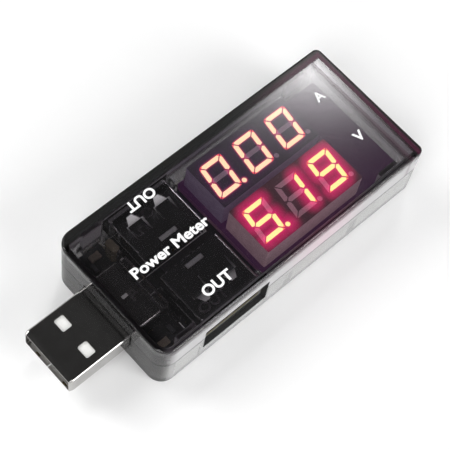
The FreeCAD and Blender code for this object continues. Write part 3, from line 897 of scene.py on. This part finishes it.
def dress(node: str, finish: Finish) -> None:
    """Puts a finish on a node of the model.

    Args:
        node: The node's name.
        finish: The finish.
    """
    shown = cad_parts[node]
    if not shown.material_slots:
        shown.data.materials.append(finish.material())
    for place in shown.material_slots:
        place.material = finish.material()
    log.info("%s is finished in %s", node, finish.name)


def start_fresh() -> None:
    """Leaves edit mode and deselects everything."""
    if bpy.context.object is not None and bpy.context.object.mode != "OBJECT":
        bpy.ops.object.mode_set(mode="OBJECT")
    bpy.ops.object.select_all(action="DESELECT")


def tidy_mesh() -> None:
    """Merges the active piece's doubled points and turns all its faces outwards."""
    bpy.ops.object.mode_set(mode="EDIT")
    bpy.ops.mesh.select_all(action="SELECT")
    bpy.ops.mesh.remove_doubles(threshold=0.0005 * MM)
    bpy.ops.mesh.normals_make_consistent(inside=False)
    bpy.ops.object.mode_set(mode="OBJECT")


def hand_over(piece: bpy.types.Object, name: str, finish: Finish) -> bpy.types.Object:
    """Names, dresses and attaches a finished piece.

    Args:
        piece: The piece, with its place in its mesh.
        name: Its name.
        finish: Its finish.

    Returns:
        The same piece.
    """
    piece.name = name
    piece.data.name = name
    piece.data.materials.clear()
    piece.data.materials.append(finish.material())
    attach(piece, BODY)
    log.info("%s is made, with %d faces", name, len(piece.data.polygons))
    return piece


# ---------------------------------------------------------------- sub-assemblies

WHITE_INK = Ink("white_ink", (0.93, 0.93, 0.93), (0.75, 0.75, 0.76))
STEEL = Plated("plated_steel", (0.50, 0.49, 0.48), (0.38, 0.37, 0.36), 0.11, (1.0, 1.6, 1.6), 0.0007)
SHADED_STEEL = Plated(
    name="socket_steel",
    colour=(0.50, 0.50, 0.51),
    dull=(0.38, 0.38, 0.39),
    roughness=0.05,
    stretch=(1.6, 1.0, 1.6),
    # Painted shade on the shell's lower part.
    relief=0.0,
    low_shade=0.9,
    unevenness=0.04,
)
GOLD = Plated("gold_contact", (0.86, 0.66, 0.32), (0.62, 0.44, 0.20), 0.22)
TINNED = Plated("tinned_pin", (0.72, 0.72, 0.70), (0.50, 0.50, 0.49), 0.32)
SOLDER = Plated("solder", (0.70, 0.71, 0.72), (0.45, 0.46, 0.47), 0.28, (1.0, 1.0, 1.0), 0.03, lumps=1.0)
BLACK_PLASTIC = Moulded("black_plastic", (0.022, 0.022, 0.025), (0.06, 0.06, 0.065), 0.42, relief=0.004)
SOCKET_BLOCK = SocketBlock("socket_block", (0.88, 0.88, 0.87), (0.78, 0.78, 0.76), 0.38)
WHITE_PLASTIC = Moulded("white_plastic", (0.86, 0.86, 0.84), (0.72, 0.72, 0.70), 0.38)
CHIP_BODY = Moulded("chip_body", (0.025, 0.025, 0.028), (0.05, 0.05, 0.055), 0.5, 14.0)
RESISTOR = Moulded("resistor_body", (0.03, 0.03, 0.035), (0.10, 0.10, 0.11), 0.3, 6.0)
CERAMIC = Moulded("ceramic_body", (0.20, 0.16, 0.12), (0.34, 0.29, 0.24), 0.4, 6.0)
DIPPED = Moulded("dipped_resin", (0.10, 0.085, 0.06), (0.20, 0.17, 0.11), 0.2, 1.5, 0.05, coat=0.6)
POTTING = Resin("potting_resin", (0.55, 0.50, 0.42), (0.75, 0.70, 0.60))


@dataclass
class Lettering:
    """One word printed on the cover, with its box on the top in millimetres."""

    name: str
    text: str
    x: tuple[float, float]
    y: tuple[float, float]
    turn: Turn = Turn.ALONG


@dataclass
class Enclosure:
    """The smoked cover and the clear case, with the words printed on the cover."""

    ink_height: float = 0.03
    sunk: float = 0.4
    boldness: float = 0.03
    words: tuple[Lettering, ...] = (
        Lettering("marking_name", "Power Meter", (-18.6, -1.8), (-0.4, 1.7)),
        Lettering("marking_near_output", "OUT", (-11.7, -5.5), (-10.4, -8.3)),
        Lettering("marking_far_output", "OUT", (-11.2, -5.2), (9.6, 11.6), Turn.BACK),
        Lettering("marking_current_unit", "A", (29.3, 31.3), (5.1, 7.1)),
        Lettering("marking_voltage_unit", "V", (29.2, 31.2), (-5.4, -3.4)),
    )
    cover: ClearPlastic = ClearPlastic(
        name="smoked_cover",
        tint=(0.80, 0.79, 0.80),
        density=2.0,
        milk=(0.88, 0.87, 0.88),
        haze=0.004,
        wall_haze=0.42,
        band=(8.0, 12.2),
        plug_end_shade_share=1.15,
        glow=(0.9, 0.02, 0.3),
        rim=0.88,
    )
    case: ClearPlastic = ClearPlastic(
        name="clear_case",
        tint=(0.90, 0.90, 0.90),
        density=1.4,
        milk=(0.84, 0.84, 0.84),
        haze=0.02,
        wall_haze=0.26,
        band=(0.4, 9.8),
        plug_end_shade_share=2.2,
        glow=(0.5, 0.08, 0.2),
        glow_reach=8.0,
    )

    def print_word(self, word: Lettering) -> bpy.types.Object:
        """Prints one word on the cover.

        Args:
            word: The word and its box.

        Returns:
            The ink as a thin closed piece.
        """
        start_fresh()
        bpy.ops.object.text_add()
        piece = bpy.context.object
        piece.data.body = word.text
        piece.data.size = 1.0
        piece.data.offset = self.boldness
        piece.data.extrude = 0.1
        piece.data.resolution_u = 6
        bpy.ops.object.convert(target="MESH")
        piece = bpy.context.object
        corners = [Vector(corner) for corner in piece.bound_box]
        low = Vector([min(corner[axis] for corner in corners) for axis in range(3)])
        high = Vector([max(corner[axis] for corner in corners) for axis in range(3)])
        size = high - low
        piece.data.transform(Matrix.Translation(-(low + high) / 2))
        width, height = (word.x[1] - word.x[0]) * MM, (word.y[1] - word.y[0]) * MM
        thickness = self.ink_height * MM
        piece.scale = (width / size.x, height / size.y, thickness / size.z)
        piece.rotation_euler = (0.0, 0.0, word.turn.value)
        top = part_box("upper_cover")[1].z
        piece.location = (sum(word.x) / 2 * MM, sum(word.y) / 2 * MM, top + thickness * self.sunk)
        bpy.ops.object.transform_apply(location=True, rotation=True, scale=True)
        tidy_mesh()
        return hand_over(piece, word.name, WHITE_INK)

    def build(self) -> None:
        """Dresses the two mouldings and prints the words."""
        dress("upper_cover", self.cover)
        dress("lower_case", self.case)
        for word in self.words:
            self.print_word(word)


@dataclass
class Boards:
    """The two circuit boards, what joins them and the lines printed on them."""

    line: float = 0.18
    line_height: float = 0.03
    sunk: float = 0.1
    clearance: float = 0.45
    marks: tuple[tuple[float, float, float, float], ...] = (
        (-0.1, 3.2, 1.1, 2.4),
        (-0.1, -2.2, 1.1, 2.4),
        (-0.1, -6.4, 1.0, 1.6),
        (-0.1, 7.6, 1.0, 1.6),
    )
    main: CircuitBoard = CircuitBoard(
        name="main_resist",
        resist=(0.012, 0.012, 0.014),
        copper=(0.05, 0.05, 0.052),
        laminate=(0.42, 0.36, 0.20),
    )
    display: CircuitBoard = CircuitBoard(
        name="display_resist",
        resist=(0.03, 0.014, 0.02),
        copper=(0.09, 0.04, 0.055),
        laminate=(0.45, 0.36, 0.22),
        # Painted light from the displays on this board.
        glow=(0.35, 0.02, 0.42),
        glow_strength=0.09,
    )

    def outline(self, x: float, y: float, length: float, width: float) -> bpy.types.Object:
        """A thin printed rectangle on the main board.

        Args:
            x: The middle along the object, in metres.
            y: The middle across it.
            length: The outer length along the object.
            width: The outer width across it.

        Returns:
            The frame as a closed piece.
        """
        start_fresh()
        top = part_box("main_board")[1].z
        bpy.ops.mesh.primitive_plane_add(size=1.0, location=(x, y, top + self.line_height * MM * self.sunk))
        piece = bpy.context.object
        piece.scale = (length, width, 1.0)
        bpy.ops.object.transform_apply(location=True, rotation=True, scale=True)
        bpy.ops.object.mode_set(mode="EDIT")
        bpy.ops.mesh.select_all(action="SELECT")
        bpy.ops.mesh.inset(thickness=self.line * MM, depth=0.0)
        bpy.ops.mesh.delete(type="FACE")
        bpy.ops.mesh.select_all(action="SELECT")
        rise = {"value": (0.0, 0.0, self.line_height * MM)}
        bpy.ops.mesh.extrude_region_move(TRANSFORM_OT_translate=rise)
        bpy.ops.object.mode_set(mode="OBJECT")
        tidy_mesh()
        return piece

    def legend(self) -> bpy.types.Object:
        """The printed outlines round the connectors and small parts.

        Returns:
            All the outlines as one piece.
        """
        gap = self.clearance * MM
        frames = []
        for node in ("near_socket_shell", "far_socket_shell"):
            low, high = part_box(node)
            board_low, board_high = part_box("main_board")
            y0, y1 = max(low.y - gap, board_low.y + gap), min(high.y + gap, board_high.y - gap)
            frames.append(((low.x + high.x) / 2, (y0 + y1) / 2, high.x - low.x + 2 * gap, y1 - y0))
        frames += [tuple(number * MM for number in mark) for mark in self.marks]
        pieces = [self.outline(*measures) for measures in frames]
        start_fresh()
        for piece in pieces:
            piece.select_set(True)
        bpy.context.view_layer.objects.active = pieces[0]
        bpy.ops.object.join()
        return hand_over(bpy.context.object, "board_legend", WHITE_INK)

    def build(self) -> None:
        """Dresses the boards and prints their outlines."""
        dress("main_board", self.main)
        dress("display_board", self.display)
        dress("header_body", BLACK_PLASTIC)
        dress("header_pins", TINNED)
        dress("solder_joints", SOLDER)
        self.legend()


@dataclass
class Plug:
    """The plug with its insulator and contacts."""

    def build(self) -> None:
        """Dresses the plug."""
        dress("plug_shell", STEEL)
        dress("plug_insulator", WHITE_PLASTIC)
        dress("plug_contacts", GOLD)


class Side(Enum):
    """Which long side a socket opens to."""

    NEAR = "near"
    FAR = "far"


@dataclass
class Socket:
    """One of the two sockets."""

    side: Side

    def build(self) -> None:
        """Dresses the socket."""
        dress(f"{self.side.value}_socket_shell", SHADED_STEEL)
        dress(f"{self.side.value}_socket_insulator", SOCKET_BLOCK)
        dress(f"{self.side.value}_socket_contacts", GOLD)


@dataclass
class Display:
    """One three-digit display."""

    quantity: str
    reading: str
    glow: Glow
    face: Colour
    side: Colour
    side_glow: Colour
    unlit: Colour

    def layout(self) -> DigitLayout:
        """Finds the digits from the housing's place.

        Returns:
            Where the digits' bars are.
        """
        low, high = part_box(f"{self.quantity}_display_housing")
        middle = (low + high) / 2 / MM
        return DigitLayout(self.reading, (middle.x, middle.y))

    def build(self) -> None:
        """Dresses the display."""
        name, layout = self.quantity + "_display", self.layout()
        housing = DisplayBody(name + "_body", layout, self.glow, self.face, self.side, self.side_glow)
        unlit = DisplayBody(name + "_unlit", layout, self.glow, self.unlit, self.unlit, BLACK, roughness=0.25)
        dress(name + "_housing", housing)
        dress(name + "_dark_segments", unlit)
        dress(name + "_lit_segments", LitBar(name + "_lit", layout, self.glow))
        dress(name + "_potting", POTTING)
        dress(name + "_pins", TINNED)


@dataclass
class Electronics:
    """The parts soldered to the main board."""

    finishes: dict[str, Finish] = field(
        default_factory=lambda: {
            "controller_chip": CHIP_BODY,
            "controller_leads": TINNED,
            "voltage_regulator": CHIP_BODY,
            "shunt_resistor": RESISTOR,
            "chip_resistors": RESISTOR,
            "chip_capacitors": CERAMIC,
            "standing_capacitor": DIPPED,
        }
    )

    def build(self) -> None:
        """Dresses every part."""
        for node, finish in self.finishes.items():
            dress(node, finish)


# ---------------------------------------------------------------- studio


@dataclass
class SoftBox:
    """A square soft light that looks at the object."""

    name: str
    azimuth: float
    elevation: float
    distance: float
    size: float
    power: float

    def build(self, target: Vector) -> None:
        """Hangs the light.

        Args:
            target: The point that it looks at.
        """
        data = bpy.data.lights.new(self.name, "AREA")
        data.shape = "SQUARE"
        data.size = self.size
        data.energy = self.power
        lamp = bpy.data.objects.new(self.name, data)
        bpy.context.scene.collection.objects.link(lamp)
        turn, rise = math.radians(self.azimuth), math.radians(self.elevation)
        out = Vector((math.cos(rise) * math.cos(turn), math.cos(rise) * math.sin(turn), math.sin(rise)))
        lamp.location = target + out * self.distance
        lamp.rotation_euler = (-out).to_track_quat("-Z", "Y").to_euler()


@dataclass
class Studio:
    """The floor, the surroundings, the lights and the camera."""

    azimuth: float = 53.53
    elevation: float = 62.97
    roll: float = 12.48
    distance: float = 0.24776
    lens: float = 112.396
    aim: Colour = (0.00258, -0.0001, 0.007)
    floor_size: float = 6.0
    floor_gap: float = 0.05
    low_light: float = 1.25
    high_light: float = 0.05
    patch_azimuth: float = 34.5
    patch_elevation: float = 52.0
    patch_focus: float = 496.0
    patch_light: float = 68.0
    patch_limit: float = 18.0
    boxes: tuple[SoftBox, ...] = (
        SoftBox("left_light", 200.0, 40.0, 0.9, 0.5, 4.0),
        SoftBox("front_light", 285.0, 28.0, 0.9, 0.5, 5.2),
        SoftBox("far_light", 112.0, 42.0, 0.9, 0.5, 4.0),
    )

    def camera(self) -> None:
        """Sets up the camera."""
        turn, rise, roll = (math.radians(angle) for angle in (self.azimuth, self.elevation, self.roll))
        ahead = Vector((math.cos(rise) * math.sin(turn), math.cos(rise) * math.cos(turn), -math.sin(rise)))
        level = ahead.cross(Vector((0.0, 0.0, 1.0))).normalized()
        above = level.cross(ahead)
        right = level * math.cos(roll) + above * math.sin(roll)
        up = right.cross(ahead)
        data = bpy.data.cameras.new("view")
        data.lens = self.lens
        data.clip_start, data.clip_end = 0.01, 20.0
        camera = bpy.data.objects.new("view", data)
        bpy.context.scene.collection.objects.link(camera)
        camera.location = Vector(self.aim) - ahead * self.distance
        camera.rotation_euler = Matrix((right, up, -ahead)).transposed().to_euler()
        bpy.context.scene.camera = camera

    def floor(self) -> None:
        """Lays the floor just under the object."""
        start_fresh()
        bpy.ops.mesh.primitive_plane_add(size=self.floor_size, location=(0.0, 0.0, -self.floor_gap * MM))
        sheet = bpy.context.object
        sheet.name = "floor"
        bpy.ops.object.transform_apply(location=True, rotation=True, scale=True)
        sheet.data.materials.append(Paper("floor_paper", (0.93, 0.93, 0.93), (0.90, 0.90, 0.90)).material())

    def surroundings(self) -> None:
        """A world that is bright round the horizon and dim overhead, with one soft bright patch."""
        world = bpy.data.worlds.new("studio")
        graph = Graph(world)
        where = graph.value("TexCoord", {}, {}, "Generated")
        height = graph.parts(where)[2]
        turn, rise = math.radians(self.patch_azimuth), math.radians(self.patch_elevation)
        towards = (math.cos(rise) * math.cos(turn), math.cos(rise) * math.sin(turn), math.sin(rise))
        facing = graph.value("VectorMath", {"operation": "DOT_PRODUCT"}, {0: where, 1: towards}, "Value")
        patch = (facing.at_least(0.0) ** self.patch_focus * self.patch_light).at_most(self.patch_limit)
        sky = height.ramp(0.7, 0.1) * (self.low_light - self.high_light) + self.high_light
        light = graph.node("Background", {}, {"Strength": sky + patch})
        graph.node("OutputWorld", {}, {"Surface": light})
        bpy.context.scene.world = world

    def build(self) -> None:
        """Builds the studio."""
        self.floor()
        self.surroundings()
        for box in self.boxes:
            box.build(Vector(self.aim))
        self.camera()
        scene = bpy.context.scene
        scene.view_settings.view_transform = "Standard"
        scene.cycles.transparent_max_bounces = 40
        scene.cycles.max_bounces = 24
        scene.cycles.transmission_bounces = 20


# ---------------------------------------------------------------- the meter

CURRENT_DISPLAY = Display(
    quantity="current",
    reading="000",
    glow=Glow(
        core=(1.0, 0.76, 0.42),
        rim=(1.0, 0.08, 0.12),
        halo=(0.85, 0.0, 0.18),
        halo_reach=0.85,
        wash=(0.03, 0.0, 0.035),
        wash_reach=2.2,
        strength=1.9,
    ),
    face=(0.03, 0.015, 0.04),
    side=(0.28, 0.25, 0.31),
    side_glow=(0.065, 0.04, 0.08),
    unlit=(0.5, 0.36, 0.44),
)
VOLTAGE_DISPLAY = Display(
    quantity="voltage",
    reading="519",
    glow=Glow(
        core=(1.0, 0.93, 0.28),
        rim=(1.0, 0.20, 0.12),
        halo=(1.35, 0.0, 0.26),
        halo_reach=1.0,
        wash=(1.05, 0.0, 0.19),
        wash_reach=3.0,
        strength=1.9,
    ),
    face=(0.09, 0.012, 0.03),
    side=(0.46, 0.36, 0.38),
    side_glow=(0.17, 0.10, 0.12),
    unlit=(0.72, 0.38, 0.46),
)


def main() -> None:
    """Builds the meter's looks in order."""
    logging.basicConfig(level=logging.INFO, format="%(name)s: %(message)s")
    Studio().build()
    Enclosure().build()
    Boards().build()
    Plug().build()
    for side in Side:
        Socket(side).build()
    CURRENT_DISPLAY.build()
    VOLTAGE_DISPLAY.build()
    Electronics().build()
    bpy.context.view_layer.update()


if __name__ == "__main__":
    main()
